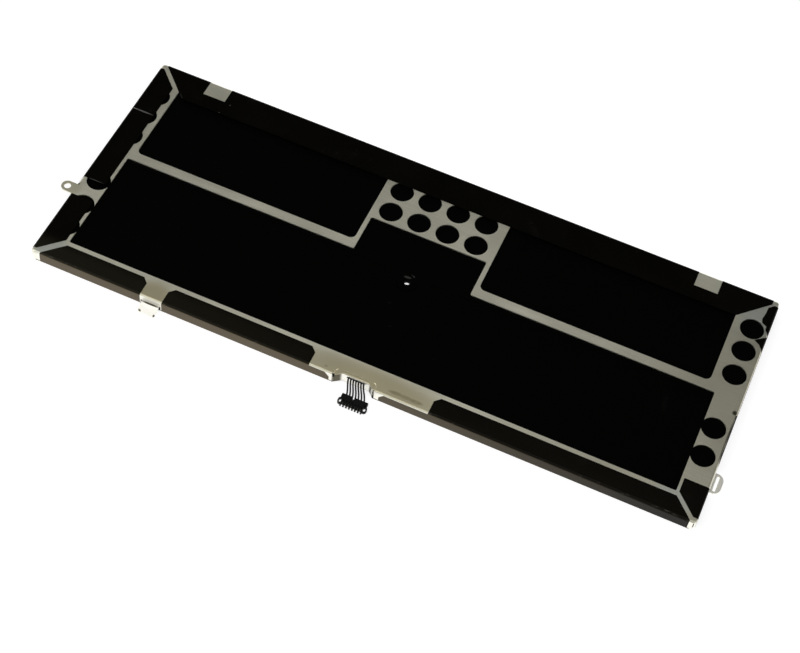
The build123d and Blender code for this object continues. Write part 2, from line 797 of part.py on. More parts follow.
# Flexible strip: arms under the upper tabs, a spine, and a neck that rings the boss
with BuildPart() as link_flex:
    with BuildSketch(Plane.XY.offset(circuit_level)):
        flex_y, flex_length = span(board_back - flex_board_overlap, upper_tab_rows[0])
        with Locations((0, flex_y)):
            Rectangle(flex_neck_width, flex_length)
        spine_y, spine_length = span(upper_tab_rows[0], upper_tab_rows[1])
        with Locations((0, spine_y)):
            Rectangle(flex_spine_width, spine_length)
        arm_x, arm_length = span(head_left + flex_arm_margin, head_right - flex_arm_margin)
        with Locations((arm_x, upper_tab_rows[0]), (arm_x, upper_tab_rows[1])):
            Rectangle(arm_length, flex_arm_width)
        Circle(flex_opening + flex_ring_wall)
        Circle(flex_opening, mode=Mode.SUBTRACT)
    extrude(amount=flex_thickness)

finish(link_flex.part, "link_flex")

# Cover tape: lies on the cells and bridges the gap between them
with BuildPart() as cover_tape:
    with BuildSketch(Plane.XY.offset(cell_top)):
        strip_y, strip_length = span(cell_front, upper_front)
        with Locations((0, strip_y)):
            Rectangle(2 * (lower_inner + tape_overlap), strip_length)
        patch_x, patch_length = span(upper_left_inner - tape_overlap, upper_right_inner + tape_overlap)
        patch_y, patch_width = span(lower_back - tape_overlap, cell_back - carrier_rib / 2)
        with Locations((patch_x, patch_y)):
            Rectangle(patch_length, patch_width)
        Circle(boss_diameter / 2 + tape_boss_clearance, mode=Mode.SUBTRACT)
    extrude(amount=tape_thickness)

finish(cover_tape.part, "cover_tape")

# Protection board on its foam bed, and the paper over it
tab_inner = lower_tab_first - tab_width / 2
tab_outer = lower_tab_columns[1] + tab_width / 2
resistor_x = tab_outer + end_part_gap + resistor_size[0] / 2
capacitor_x = -tab_outer - end_part_gap - capacitor_size[0] / 2
board_left = capacitor_x - capacitor_size[0] / 2 - board_margin
board_right = resistor_x + resistor_size[0] / 2 + board_margin
board_x, board_length = span(board_left, board_right)
board_y, board_width = span(board_front, board_back)

with BuildPart() as board_pad:
    with BuildSketch(Plane.XY.offset(film)):
        with Locations((board_x, board_y)):
            Rectangle(board_length, board_width)
    extrude(amount=board_bottom - film)
    add(pocket_block(sheet + board_clearance, film, board_bottom), mode=Mode.SUBTRACT)

finish(board_pad.part, "board_pad")

with BuildPart() as protection_board:
    with BuildSketch(Plane.XY.offset(board_bottom)):
        with Locations((board_x, board_y)):
            Rectangle(board_length, board_width)
    extrude(amount=board_thickness)
    add(pocket_block(sheet + board_clearance, film, plate_top), mode=Mode.SUBTRACT)

finish(protection_board.part, "protection_board")

with BuildPart() as board_insulator:
    with BuildSketch(Plane.XY.offset(plate_under)):
        paper_y, paper_width = span(front_y + bend_radius + board_clearance, cell_front)
        with Locations((board_x, paper_y)):
            Rectangle(board_length, paper_width)
        with Locations((exit_x, front_y)):
            Rectangle(
                exit_width + 2 * insulator_margin,
                2 * (exit_depth + insulator_margin),
                mode=Mode.SUBTRACT,
            )
    extrude(amount=-insulator_thickness)

finish(board_insulator.part, "board_insulator")

# Parts on the board, between the tabs
left_of_exit = (mouth_left - sheet - tab_inner) / 2
right_of_exit = (mouth_right + sheet + tab_inner) / 2
between_tabs = (lower_tab_columns[0] + lower_tab_columns[1]) / 2


def board_part(x, y, size):
    """Small flat part standing on the board."""
    with BuildPart() as chip:
        with BuildSketch(Plane.XY.offset(circuit_level)):
            with Locations((x, y)):
                Rectangle(size[0], size[1])
        extrude(amount=size[2])
    return chip.part


finish(board_part(left_of_exit, board_y, controller_size), "controller_chip")
finish(board_part(right_of_exit, board_y, switch_size), "charge_switch")
finish(board_part(between_tabs, board_y, switch_size), "discharge_switch")
finish(board_part(-between_tabs, board_y, fuse_size), "chip_fuse")
finish(board_part(resistor_x, board_y, resistor_size), "sense_resistor")
for number in range(capacitor_count):
    capacitor_y = board_y + capacitor_pitch * (number - (capacitor_count - 1) / 2)
    finish(board_part(capacitor_x, capacitor_y, capacitor_size), f"filter_capacitor_{number + 1}")

# Plug
channel = lead_diameter + 2 * lead_clearance
channel_z = plug_floor + channel / 2
plug_height = plug_floor + channel + plug_roof
plug_width = (lead_count - 1) * lead_plug_pitch + channel + 2 * plug_wall
plug_back_width = plug_width + 2 * plug_shoulder
plug_back = front_y - plug_gap
plug_front = plug_back - plug_depth
lead_end = plug_back - lead_grip
loop_y = plug_back - plug_back_depth - loop_length / 2
plug_columns = [plug_x + lead_plug_pitch * (n - (lead_count - 1) / 2) for n in range(lead_count)]
board_columns = [lead_x + lead_board_pitch * (n - (lead_count - 1) / 2) for n in range(lead_count)]

with BuildPart() as plug_housing:
    with BuildSketch():
        with Locations((plug_x, plug_back - plug_depth / 2)):
            Rectangle(plug_width, plug_depth)
        with Locations((plug_x, plug_back - plug_back_depth / 2)):
            Rectangle(plug_back_width, plug_back_depth)
    extrude(amount=plug_height)
    chamfer(plug_housing.faces().sort_by(Axis.Z)[-1].edges(), plug_edge)
    # Finger loop on each side
    with BuildSketch():
        with Locations((plug_x, loop_y)):
            RectangleRounded(plug_width + 2 * loop_reach, loop_length, loop_radius)
    extrude(amount=loop_height)
    with BuildSketch():
        loop_hole = loop_reach - loop_wall
        loop_offset = (plug_width + loop_hole) / 2
        with Locations((plug_x - loop_offset, loop_y), (plug_x + loop_offset, loop_y)):
            RectangleRounded(loop_hole, loop_length - 2 * loop_wall, loop_wall)
    extrude(amount=loop_height, mode=Mode.SUBTRACT)
    # Comb at the front edge, and a notch between two leads at the back
    with BuildSketch():
        with Locations(*[(column, plug_front) for column in plug_columns]):
            Rectangle(comb_width, 2 * comb_depth)
        with Locations((plug_x - lead_plug_pitch / 2, plug_back)):
            Rectangle(back_notch_width, 2 * back_notch_depth)
    extrude(amount=plug_height, mode=Mode.SUBTRACT)
    # Openings over the contacts
    with BuildSketch(Plane.XY.offset(plug_height)):
        with Locations(*[(column, plug_front + peep_setback) for column in plug_columns]):
            Rectangle(peep_width, peep_length)
    extrude(amount=-plug_roof - channel / 2, mode=Mode.SUBTRACT)
    # Channels from the leads at the back to the contacts at the front
    with BuildSketch(Plane.XZ.offset(-plug_back)):
        with Locations(*[(column, channel_z) for column in plug_columns]):
            Rectangle(channel, channel)
    extrude(amount=plug_depth, mode=Mode.SUBTRACT)

finish(plug_housing.part, "plug_housing")

# Contacts and leads
contact_y, contact_length = span(plug_front + contact_setback, lead_end)
for number, column in enumerate(plug_columns, start=1):
    with BuildPart() as plug_contact:
        with BuildSketch(Plane.XY.offset(plug_floor)):
            with Locations((column, contact_y)):
                Rectangle(contact_width, contact_length)
        extrude(amount=contact_thickness)
    finish(plug_contact.part, f"plug_contact_{number}")

lead_start = board_back - flex_board_overlap - lead_flex_clearance
for number, (start_x, end_x) in enumerate(zip(board_columns, plug_columns), start=1):
    route = [
        Vector(start_x, lead_start, lead_level),
        Vector(start_x, pocket_back - lead_bend, lead_level),
        Vector(end_x, plug_back + lead_entry_run, channel_z),
        Vector(end_x, lead_end, channel_z),
    ]
    runs = [b - a for a, b in zip(route, route[1:])]
    radii = []
    for before, after in zip(runs, runs[1:]):
        half_turn = radians(before.get_angle(after) / 2)
        radii.append(lead_arc_share * min(before.length, after.length) / tan(half_turn))
    with BuildPart() as lead:
        with BuildLine() as path:
            FilletPolyline(*route, radius=radii)
        with BuildSketch(Plane(origin=route[0], z_dir=runs[0])):
            RegularPolygon(lead_diameter / 2, lead_sides)
        sweep()
    finish(lead.part, f"lead_{number}")
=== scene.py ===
"""Studio scene of a flat laptop battery: its finishes, round leads, camera, floor and lamps.

Metres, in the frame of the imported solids. Sizes in the classes are in millimetres, as in the part's source.
"""

import logging
import math
from collections.abc import Mapping, Sequence
from dataclasses import dataclass, field
from enum import Enum

import bmesh
import bpy
from mathutils import Matrix, Vector


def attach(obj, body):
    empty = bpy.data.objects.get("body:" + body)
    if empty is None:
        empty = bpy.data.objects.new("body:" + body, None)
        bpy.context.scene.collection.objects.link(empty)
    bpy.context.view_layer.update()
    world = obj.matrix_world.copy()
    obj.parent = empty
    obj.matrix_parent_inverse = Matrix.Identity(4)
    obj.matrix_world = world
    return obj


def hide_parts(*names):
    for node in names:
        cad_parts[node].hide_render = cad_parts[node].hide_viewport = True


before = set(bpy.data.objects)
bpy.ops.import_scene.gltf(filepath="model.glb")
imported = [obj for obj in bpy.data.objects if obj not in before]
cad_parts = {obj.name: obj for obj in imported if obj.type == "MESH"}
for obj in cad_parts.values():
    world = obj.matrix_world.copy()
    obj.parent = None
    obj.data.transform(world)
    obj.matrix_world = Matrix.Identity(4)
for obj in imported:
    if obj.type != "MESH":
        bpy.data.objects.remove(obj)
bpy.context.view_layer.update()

LOG = logging.getLogger("laptop_battery")
BODY = "root"
MM = 0.001

Colour = tuple[float, float, float]
Point = tuple[float, float, float]

WHITE: Colour = (1.0, 1.0, 1.0)


class Kind(Enum):
    """Shader nodes that the finishes use."""

    PRINCIPLED = "ShaderNodeBsdfPrincipled"
    DIFFUSE = "ShaderNodeBsdfDiffuse"
    EMISSION = "ShaderNodeEmission"
    ADD_SHADER = "ShaderNodeAddShader"
    OUTPUT = "ShaderNodeOutputMaterial"
    WORLD_OUTPUT = "ShaderNodeOutputWorld"
    BACKGROUND = "ShaderNodeBackground"
    COORDINATES = "ShaderNodeTexCoord"
    MAPPING = "ShaderNodeMapping"
    SPLIT = "ShaderNodeSeparateXYZ"
    NOISE = "ShaderNodeTexNoise"
    CELLS = "ShaderNodeTexVoronoi"
    BRICKS = "ShaderNodeTexBrick"
    RANGE = "ShaderNodeMapRange"
    MATHS = "ShaderNodeMath"
    MIX = "ShaderNodeMix"
    BUMP = "ShaderNodeBump"
    LIGHT_PATH = "ShaderNodeLightPath"


class Sum(Enum):
    """Operations of a Math node."""

    ADD = "ADD"
    SUBTRACT = "SUBTRACT"
    MULTIPLY = "MULTIPLY"
    DIVIDE = "DIVIDE"
    MOST = "MAXIMUM"
    FLOOR = "FLOOR"


class Easing(Enum):
    """How a value passes from one end of a range to the other."""

    LINEAR = "LINEAR"
    SMOOTH = "SMOOTHSTEP"


@dataclass(frozen=True)
class Noise:
    """Smooth noise: breadth of its lumps in millimetres, octaves and their strength, stretch and shift."""

    size: float
    detail: float = 2.0
    rough: float = 0.5
    stretch: Point = (1.0, 1.0, 1.0)
    offset: Point = (0.0, 0.0, 0.0)


class Signal:
    """A number on a shader socket, used in Python sums."""

    def __init__(self, shader: "Shader", socket: bpy.types.NodeSocket) -> None:
        """Keep the socket and the tree that it is in."""
        self.shader = shader
        self.socket = socket

    def sum(self, operation: Sum, first: "Number", second: "Number") -> "Signal":
        """Add a Math node.

        Args:
            operation: what the node does.
            first: its first number.
            second: its second number.

        Returns:
            The node's result.
        """
        node = self.shader.node(Kind.MATHS, {"operation": operation.value}, {0: first, 1: second})
        return Signal(self.shader, node.outputs[0])

    def __add__(self, other: "Number") -> "Signal":
        """This number plus another."""
        return self.sum(Sum.ADD, self, other)

    __radd__ = __add__

    def __sub__(self, other: "Number") -> "Signal":
        """This number less another."""
        return self.sum(Sum.SUBTRACT, self, other)

    def __rsub__(self, other: "Number") -> "Signal":
        """Another number less this one."""
        return self.sum(Sum.SUBTRACT, other, self)

    def __mul__(self, other: "Number") -> "Signal":
        """This number times another."""
        return self.sum(Sum.MULTIPLY, self, other)

    __rmul__ = __mul__

    def __truediv__(self, other: "Number") -> "Signal":
        """This number divided by another."""
        return self.sum(Sum.DIVIDE, self, other)

    def __rtruediv__(self, other: "Number") -> "Signal":
        """Another number divided by this one."""
        return self.sum(Sum.DIVIDE, other, self)

    def most(self, other: "Number") -> "Signal":
        """The larger of this number and another."""
        return self.sum(Sum.MOST, self, other)

    def floor(self) -> "Signal":
        """The whole number at or below this one."""
        node = self.shader.node(Kind.MATHS, {"operation": Sum.FLOOR.value}, {0: self})
        return Signal(self.shader, node.outputs[0])

    def swing(self, reach: float) -> "Signal":
        """This share as a swing about 0.

        Args:
            reach: breadth of the swing.

        Returns:
            From minus half the reach for 0 to plus half of it for 1.
        """
        return (self - 0.5) * reach

    def ramp(self, low: float, high: float, easing: Easing = Easing.SMOOTH) -> "Signal":
        """Stretch a range to 0 to 1 and clamp it.

        Args:
            low: value that becomes 0.
            high: value that becomes 1.
            easing: how it passes between them.

        Returns:
            The clamped share.
        """
        settings = {"interpolation_type": easing.value, "clamp": True}
        sockets = {"Value": self, "From Min": low, "From Max": high, "To Min": 0.0, "To Max": 1.0}
        node = self.shader.node(Kind.RANGE, settings, sockets)
        return Signal(self.shader, node.outputs["Result"])


Number = Signal | float | int
Link = Signal | bpy.types.NodeSocket | float | int | Sequence[float]


class Shader:
    """A node tree, with one method that adds any node."""

    def __init__(self, tree: bpy.types.NodeTree) -> None:
        """Start from an empty tree."""
        self.tree = tree
        self.tree.nodes.clear()
        self.millimetres: bpy.types.NodeSocket | None = None

    def node(
        self,
        kind: Kind,
        settings: Mapping[str, object] | None = None,
        sockets: Mapping[str | int, Link] | None = None,
    ) -> bpy.types.Node:
        """Add a node.

        Args:
            kind: the node's type.
            settings: its own properties, set first.
            sockets: values or links of its inputs, by name or number.

        Returns:
            The new node.
        """
        made = self.tree.nodes.new(kind.value)
        for name, value in (settings or {}).items():
            setattr(made, name, value)
        for key, value in (sockets or {}).items():
            target = made.inputs[key]
            if isinstance(value, Signal):
                self.tree.links.new(value.socket, target)
            elif isinstance(value, bpy.types.NodeSocket):
                self.tree.links.new(value, target)
            elif target.type == "RGBA":
                target.default_value = (*value, 1.0)
            else:
                target.default_value = value
        return made

    def place(self) -> bpy.types.NodeSocket:
        """The point on the object, in millimetres."""
        if self.millimetres is None:
            point = self.node(Kind.COORDINATES).outputs["Object"]
            scaled = self.node(Kind.MAPPING, {}, {"Vector": point, "Scale": (1 / MM, 1 / MM, 1 / MM)})
            self.millimetres = scaled.outputs["Vector"]
        return self.millimetres

    def axes(self) -> tuple[Signal, Signal, Signal]:
        """The point's x, y and z, in millimetres."""
        split = self.node(Kind.SPLIT, {}, {"Vector": self.place()})
        return Signal(self, split.outputs[0]), Signal(self, split.outputs[1]), Signal(self, split.outputs[2])

    def noise(self, noise: Noise) -> Signal:
        """Add smooth noise.

        Args:
            noise: its size and shape.

        Returns:
            From 0 to 1.
        """
        scale = tuple(share / noise.size for share in noise.stretch)
        shift = tuple(step / noise.size for step in noise.offset)
        moved = self.node(Kind.MAPPING, {}, {"Vector": self.place(), "Scale": scale, "Location": shift})
        sockets = {
            "Vector": moved.outputs["Vector"],
            "Scale": 1.0,
            "Detail": noise.detail,
            "Roughness": noise.rough,
        }
        return Signal(self, self.node(Kind.NOISE, {}, sockets).outputs[0])

    def mix(self, share: Link, first: Link, second: Link) -> bpy.types.NodeSocket:
        """Blend two colours.

        Args:
            share: 0 for the first colour, 1 for the second.
            first: a colour or a link.
            second: a colour or a link.

        Returns:
            The blended colour.
        """
        blended = self.node(Kind.MIX, {"data_type": "RGBA"}, {0: share, 6: first, 7: second})
        return blended.outputs[2]

    def bump(self, height: Signal, rise: float) -> bpy.types.NodeSocket:
        """Turn a height into a surface normal.

        Args:
            height: from 0 to 1.
            rise: millimetres between 0 and 1.

        Returns:
            The normal.
        """
        sockets = {"Height": height, "Distance": rise * MM, "Strength": 1.0}
        return self.node(Kind.BUMP, {}, sockets).outputs["Normal"]

    def surface(self, sockets: Mapping[str | int, Link]) -> None:
        """Close the tree with a principled surface that has these values."""
        surface = self.node(Kind.PRINCIPLED, {}, sockets)
        self.node(Kind.OUTPUT, {}, {"Surface": surface.outputs[0]})


@dataclass(frozen=True)
class Mark:
    """A soft oval on a face seen from above, in millimetres, its turn in degrees."""

    x: float
    y: float
    half_length: float
    half_width: float
    turn: float = 0.0
    strength: float = 1.0
    rim: tuple[float, float] = (1.0, 0.1)

    def mask(self, x: Signal, y: Signal) -> Signal:
        """How strongly the mark shows at a point.

        Args:
            x: the point's x in millimetres.
            y: the point's y in millimetres.

        Returns:
            From 0 outside to the mark's strength in its middle.
        """
        cosine = math.cos(math.radians(self.turn))
        sine = math.sin(math.radians(self.turn))
        along = ((x - self.x) * cosine + (y - self.y) * sine) / self.half_length
        across = ((y - self.y) * cosine - (x - self.x) * sine) / self.half_width
        return (along * along + across * across).ramp(*self.rim) * self.strength


def marks_mask(shader: Shader, marks: Sequence[Mark]) -> Signal:
    """All marks of a surface as one mask.

    Args:
        shader: the tree that they are added to.
        marks: at least one mark.

    Returns:
        The strongest mark at each point.
    """
    x, y, _ = shader.axes()
    mask = marks[0].mask(x, y)
    for mark in marks[1:]:
        mask = mask.most(mark.mask(x, y))
    return mask


@dataclass(frozen=True)
class Finish:
    """A finish of the record; each kind paints its own material."""

    slot: str

    def paint(self, shader: Shader) -> None:
        """Fill an empty tree with this finish."""
        raise NotImplementedError

    def material(self) -> bpy.types.Material:
        """A new material with this finish."""
        made = bpy.data.materials.new(self.slot)
        made.use_nodes = True
        self.paint(Shader(made.node_tree))
        return made


@dataclass(frozen=True)
class RolledSteel(Finish):
    """Satin plated sheet steel: rolling grain, cloudy tone, bent walls painted near white as a reflection of
    the floor, painted shade towards the right and in gaps, creases and under the foot, and a few stains.
    """

    slot: str = "tray_steel"
    dark: Colour = (0.64, 0.62, 0.485)
    light: Colour = (0.94, 0.92, 0.75)
    warm: Colour = (0.62, 0.565, 0.375)
    # painted reflection: the bent walls and the lower part of the front bend are painted near white, as they
    # mirror the bright floor
    bright: Colour = (0.98, 0.965, 0.88)
    stain: Colour = (0.33, 0.28, 0.165)
    cool: Colour = (0.68, 0.71, 0.64)
    # painted shade: colour of the left cheek of the lead exit and of the shadows under the foot's corners
    shade: Colour = (0.115, 0.105, 0.068)
    # painted shade: the darkest colour, for gaps beside the cheeks of the lead exit, the crease above the
    # foot, a dent and the bend of the right edge
    deep_shade: Colour = (0.045, 0.04, 0.02)
    cloud: Noise = Noise(26.0, 3.0)
    grain: Noise = Noise(0.5, stretch=(0.03, 1.0, 1.0))
    speck: Noise = Noise(0.35, offset=(7.0, 3.0, 0.0))
    blotch: Noise = Noise(1.6, 3.0, offset=(2.0, 9.0, 0.0))
    blotch_range: tuple[float, float] = (0.2, 0.6)
    blotch_share: float = 0.35
    plain_tone: float = 0.72
    # how far painted shade darkens the sheet towards the right
    right_shade_fall: float = 0.65
    # how much lighter the sheet is towards the back edge
    back_lightening_rise: float = 0.25
    tone_swings: tuple[float, float, float] = (0.7, 0.45, 0.45)
    gloss: float = 0.40
    gloss_swings: tuple[float, float] = (0.12, 0.1)
    stain_roughness: float = 0.1
    matt_roughness: float = 0.15
    grain_share: float = 0.6
    grain_rise: float = 0.003
    wall_top: tuple[float, float] = (4.15, 3.9)
    # the warm tint stops short of the front bend, leaving a thin painted highlight line on its lower part
    warm_edge: tuple[float, float] = (-46.72, -46.5)
    # painted shade towards the right: where it starts and ends, and how it slants across the sheet
    right_shade_end: tuple[float, float] = (62.0, 105.0)
    right_shade_slant: float = 0.8
    # where the sheet turns lighter towards the back edge
    back_lightening_edge: tuple[float, float] = (38.0, 46.0)
    warm_spots: tuple[Mark, ...] = (
        Mark(6.0, -44.5, 36.0, 8.0, 0.0, 1.0),
        Mark(-76.0, -45.0, 9.0, 7.0, 0.0, 1.0),
        Mark(-124.0, -16.0, 5.0, 4.5, 0.0, 0.5),
    )
    cool_spots: tuple[Mark, ...] = (
        Mark(118.0, 42.0, 9.0, 12.0, 0.0, 0.8),
        Mark(-117.0, -42.5, 7.0, 7.0, 0.0, 0.9),
        Mark(113.0, -41.0, 9.0, 7.0, 0.0, 0.8),
    )
    # the bend at the front-left corner keeps the sheet's grey instead of the painted near-white reflection
    corner_without_glare: Mark = Mark(-121.2, -46.0, 2.2, 1.8, 0.0, 0.8)
    corner_top: tuple[float, float] = (2.9, 3.3)
    stains: tuple[Mark, ...] = (
        Mark(14.9, -44.5, 3.4, 0.95, 1.0, 0.8),
        Mark(18.5, -44.6, 3.8, 0.95, 1.0, 0.7),
        Mark(22.1, -44.7, 3.4, 0.95, 1.0, 0.8),
        Mark(-10.7, -44.9, 0.9, 0.6, 0.0, 0.5),
    )
    # painted shade on the left cheek of the lead exit, and painted contact shadows under the foot's two front
    # corners
    shaded_walls: tuple[Mark, ...] = (
        Mark(-5.9, -46.1, 1.9, 0.9, 35.0, 1.0),
        Mark(-78.3, -50.5, 0.8, 0.45, -25.0, 1.0),
        Mark(-72.9, -50.5, 0.5, 0.6, 0.0, 1.0),
    )
    # painted shade in the gaps at the front of the left cheek and along the right cheek of the lead exit
    deep_shaded_walls: tuple[Mark, ...] = (
        Mark(-7.0, -46.85, 0.7, 0.6, 35.0, 0.75),
        Mark(6.15, -45.65, 1.05, 0.8, -45.0, 1.0),
        Mark(7.45, -46.95, 0.75, 0.6, -45.0, 0.9),
    )
    # painted shade along the crease between the front wall and the foot
    foot_crease: Mark = Mark(-75.9, -47.2, 4.4, 0.36, 0.0, 1.0)
    crease_top: tuple[float, float] = (2.0, 1.75)
    # painted shade in a dent and along the bend of the right edge
    shaded_spots: tuple[Mark, ...] = (
        Mark(121.4, -0.2, 1.1, 1.2, 0.0, 0.95),
        Mark(121.95, -12.0, 11.5, 0.3, 90.0, 0.6),
    )
    matt_spots: tuple[Mark, ...] = (Mark(124.6, -27.2, 2.2, 5.2, 0.0, 1.0),)

    def tone(self, shader: Shader, cloud: Signal, grain: Signal, speck: Signal) -> Signal:
        """How light the sheet is: painted shade darkens it towards the right, and it is lighter towards the
        back edge.

        Args:
            shader: the tree that it is added to.
            cloud: broad noise.
            grain: rolling lines.
            speck: fine noise.

        Returns:
            From 0 for the dark tone to 1 for the light one.
        """
        x, y, _ = shader.axes()
        # painted shade: darker towards the right
        right_shade = (x - y * self.right_shade_slant).ramp(*self.right_shade_end)
        # lighter towards the back edge
        back_lightening = y.ramp(*self.back_lightening_edge)
        cloud_swing, grain_swing, speck_swing = self.tone_swings
        drift = cloud.swing(cloud_swing) + grain.swing(grain_swing) + speck.swing(speck_swing)
        tone = self.plain_tone - right_shade * self.right_shade_fall + back_lightening * self.back_lightening_rise + drift
        return tone.ramp(0.0, 1.0, Easing.LINEAR)

    def paint(self, shader: Shader) -> None:
        """Mix tones by noise, then the walls painted bright as a reflection, the stains, and painted shade
        over them.
        """
        cloud = shader.noise(self.cloud)
        grain = shader.noise(self.grain)
        speck = shader.noise(self.speck)
        x, y, z = shader.axes()
        # painted reflection: walls below this height take the near-white colour, except at the front-left
        # corner's bend
        wall = z.ramp(*self.wall_top)
        wall = wall * (1 - self.corner_without_glare.mask(x, y) * z.ramp(*self.corner_top))
        blotch = shader.noise(self.blotch).ramp(*self.blotch_range)
        stained = marks_mask(shader, self.stains) * (1 - self.blotch_share + blotch * self.blotch_share)
        shaded = marks_mask(shader, self.shaded_walls) * wall
        matt = marks_mask(shader, self.matt_spots)
        colour = shader.mix(self.tone(shader, cloud, grain, speck), self.dark, self.light)
        colour = shader.mix(marks_mask(shader, self.cool_spots), colour, self.cool)
        warmed = marks_mask(shader, self.warm_spots) * y.ramp(*self.warm_edge)
        colour = shader.mix(warmed, colour, self.warm)
        colour = shader.mix(wall, colour, self.bright)
        colour = shader.mix(stained, colour, self.stain)
        # painted shade and shadow on walls
        colour = shader.mix(shaded, colour, self.shade)
        # painted shade: gaps, the foot's crease, a dent and the right edge's bend take the darkest colour
        deep_shaded = marks_mask(shader, self.shaded_spots).most(marks_mask(shader, self.deep_shaded_walls) * wall)
        deep_shaded = deep_shaded.most(self.foot_crease.mask(x, y) * z.ramp(*self.crease_top))
        colour = shader.mix(deep_shaded, colour, self.deep_shade)
        cloud_swing, grain_swing = self.gloss_swings
        rough = self.gloss + cloud.swing(cloud_swing) + grain.swing(grain_swing)
        rough = rough + stained * self.stain_roughness + matt * self.matt_roughness
        height = grain * self.grain_share + speck * (1 - self.grain_share)
        shader.surface(
            {
                "Base Color": colour,
                "Metallic": 1.0,
                "Roughness": rough,
                "Normal": shader.bump(height, self.grain_rise),
            }
        )


@dataclass(frozen=True)
class WrapFilm(Finish):
    """Thin black film: satin, gently uneven where it is stuck down, with a little dust; painted sheen towards
    the front, a painted reflection along the front wall and painted glints on cut edges.
    """

    slot: str = "wrap_film"
    base: Colour = (0.0009, 0.0008, 0.0005)
    worn: Colour = (0.006, 0.0055, 0.004)
    # painted sheen: the front flaps and the front wall are painted lighter and warmer, as the light falls
    # there
    front_sheen: Colour = (0.0110, 0.0100, 0.0060)
    # painted reflection: the left part of the front wall is lightened, as it mirrors the bright floor
    wall_reflection: Colour = (0.174, 0.140, 0.089)
    dust: Colour = (0.16, 0.155, 0.14)
    # painted glint: colour of light lines along film edges
    edge_glint: Colour = (0.30, 0.30, 0.28)
    wave: Noise = Noise(19.0)
    tooth: Noise = Noise(0.22)
    rubbing: Noise = Noise(7.0, 4.0, 0.6, offset=(4.0, 11.0, 0.0))
    rubbed_range: tuple[float, float] = (0.55, 0.95)
    rubbed_share: float = 0.5
    dusting: Noise = Noise(0.5, 1.0, offset=(31.0, 5.0, 0.0))
    dusted_range: tuple[float, float] = (0.78, 0.86)
    dusted_share: float = 0.35
    chafing: Noise = Noise(0.7, stretch=(0.3, 1.0, 1.0), offset=(0.0, 3.0, 0.0))
    chafed_range: tuple[float, float] = (0.62, 0.78)
    chafed_share: float = 0.3
    gloss: float = 0.24
    gloss_swing: float = 0.12
    rubbed_roughness: float = 0.1
    dusty_roughness: float = 0.2
    fold_roughness: float = 0.3
    wave_share: float = 0.95
    wave_rise: float = 0.09
    specular: float = 0.14
    sheen: Colour = (1.0, 0.90, 0.70)
    front_wall: tuple[float, float] = (-46.9, -47.05)
    # where the painted reflection on the front wall fades out along x
    reflection_end: tuple[float, float] = (112.0, -15.0)
    # where the painted sheen towards the front fades in, along y and then along x
    front_flap: tuple[float, float] = (-37.0, -43.0)
    flap_end: tuple[float, float] = (60.0, -130.0)
    fold: tuple[float, float] = (-46.0, -46.6)
    # painted glints along a slit, along the film's end near the left ear, and at the back flap's inner-left
    # corner
    glinting_edges: tuple[Mark, ...] = (
        Mark(-118.0, 27.1, 5.4, 0.3, 0.0, 0.8),
        Mark(-117.5, -9.9, 4.2, 0.35, 0.0, 0.4),
        Mark(-109.1, 40.4, 2.0, 0.3, -46.0, 0.05),
        Mark(-105.5, 39.1, 3.0, 0.25, 0.0, 0.04),
    )
    specks: tuple[Mark, ...] = (
        Mark(-91.0, 44.6, 0.45, 0.3, 20.0, 0.3),
        Mark(-93.0, 39.6, 0.35, 0.3, 0.0, 0.25),
        Mark(112.3, -46.6, 1.2, 0.25, 0.0, 0.25),
        Mark(114.8, -46.75, 0.8, 0.2, 0.0, 0.2),
    )

    def paint(self, shader: Shader) -> None:
        """Dark base with rubbed clouds and dust, a painted sheen towards the front, a painted reflection
        along the front wall and painted glints on cut edges.
        """
        x, y, _ = shader.axes()
        wave = shader.noise(self.wave)
        tooth = shader.noise(self.tooth)
        rubbed = shader.noise(self.rubbing).ramp(*self.rubbed_range)
        dusted = shader.noise(self.dusting).ramp(*self.dusted_range)
        dusty = (dusted * self.dusted_share).most(marks_mask(shader, self.specks))
        wall = y.ramp(*self.front_wall)
        folded = y.ramp(*self.fold) * (1 - wall)
        chafed = shader.noise(self.chafing).ramp(*self.chafed_range) * folded
        dusty = dusty.most(chafed * self.chafed_share)
        black = shader.mix(rubbed * self.rubbed_share, self.base, self.worn)
        # painted sheen towards the front
        black = shader.mix(y.ramp(*self.front_flap) * x.ramp(*self.flap_end), black, self.front_sheen)
        # painted reflection on the front wall, fading towards the right
        black = shader.mix(wall * x.ramp(*self.reflection_end, Easing.LINEAR), black, self.wall_reflection)
        # painted glints on the film's edges
        glinted = shader.mix(marks_mask(shader, self.glinting_edges), black, self.edge_glint)
        rough = self.gloss + wave.swing(self.gloss_swing) + rubbed * self.rubbed_roughness
        rough = rough + dusty * self.dusty_roughness + folded * self.fold_roughness
        height = wave * self.wave_share + tooth * (1 - self.wave_share)
        shader.surface(
            {
                "Base Color": shader.mix(dusty, glinted, self.dust),
                "Roughness": rough,
                "Specular IOR Level": self.specular,
                "Specular Tint": self.sheen,
                "Normal": shader.bump(height, self.wave_rise),
            }
        )


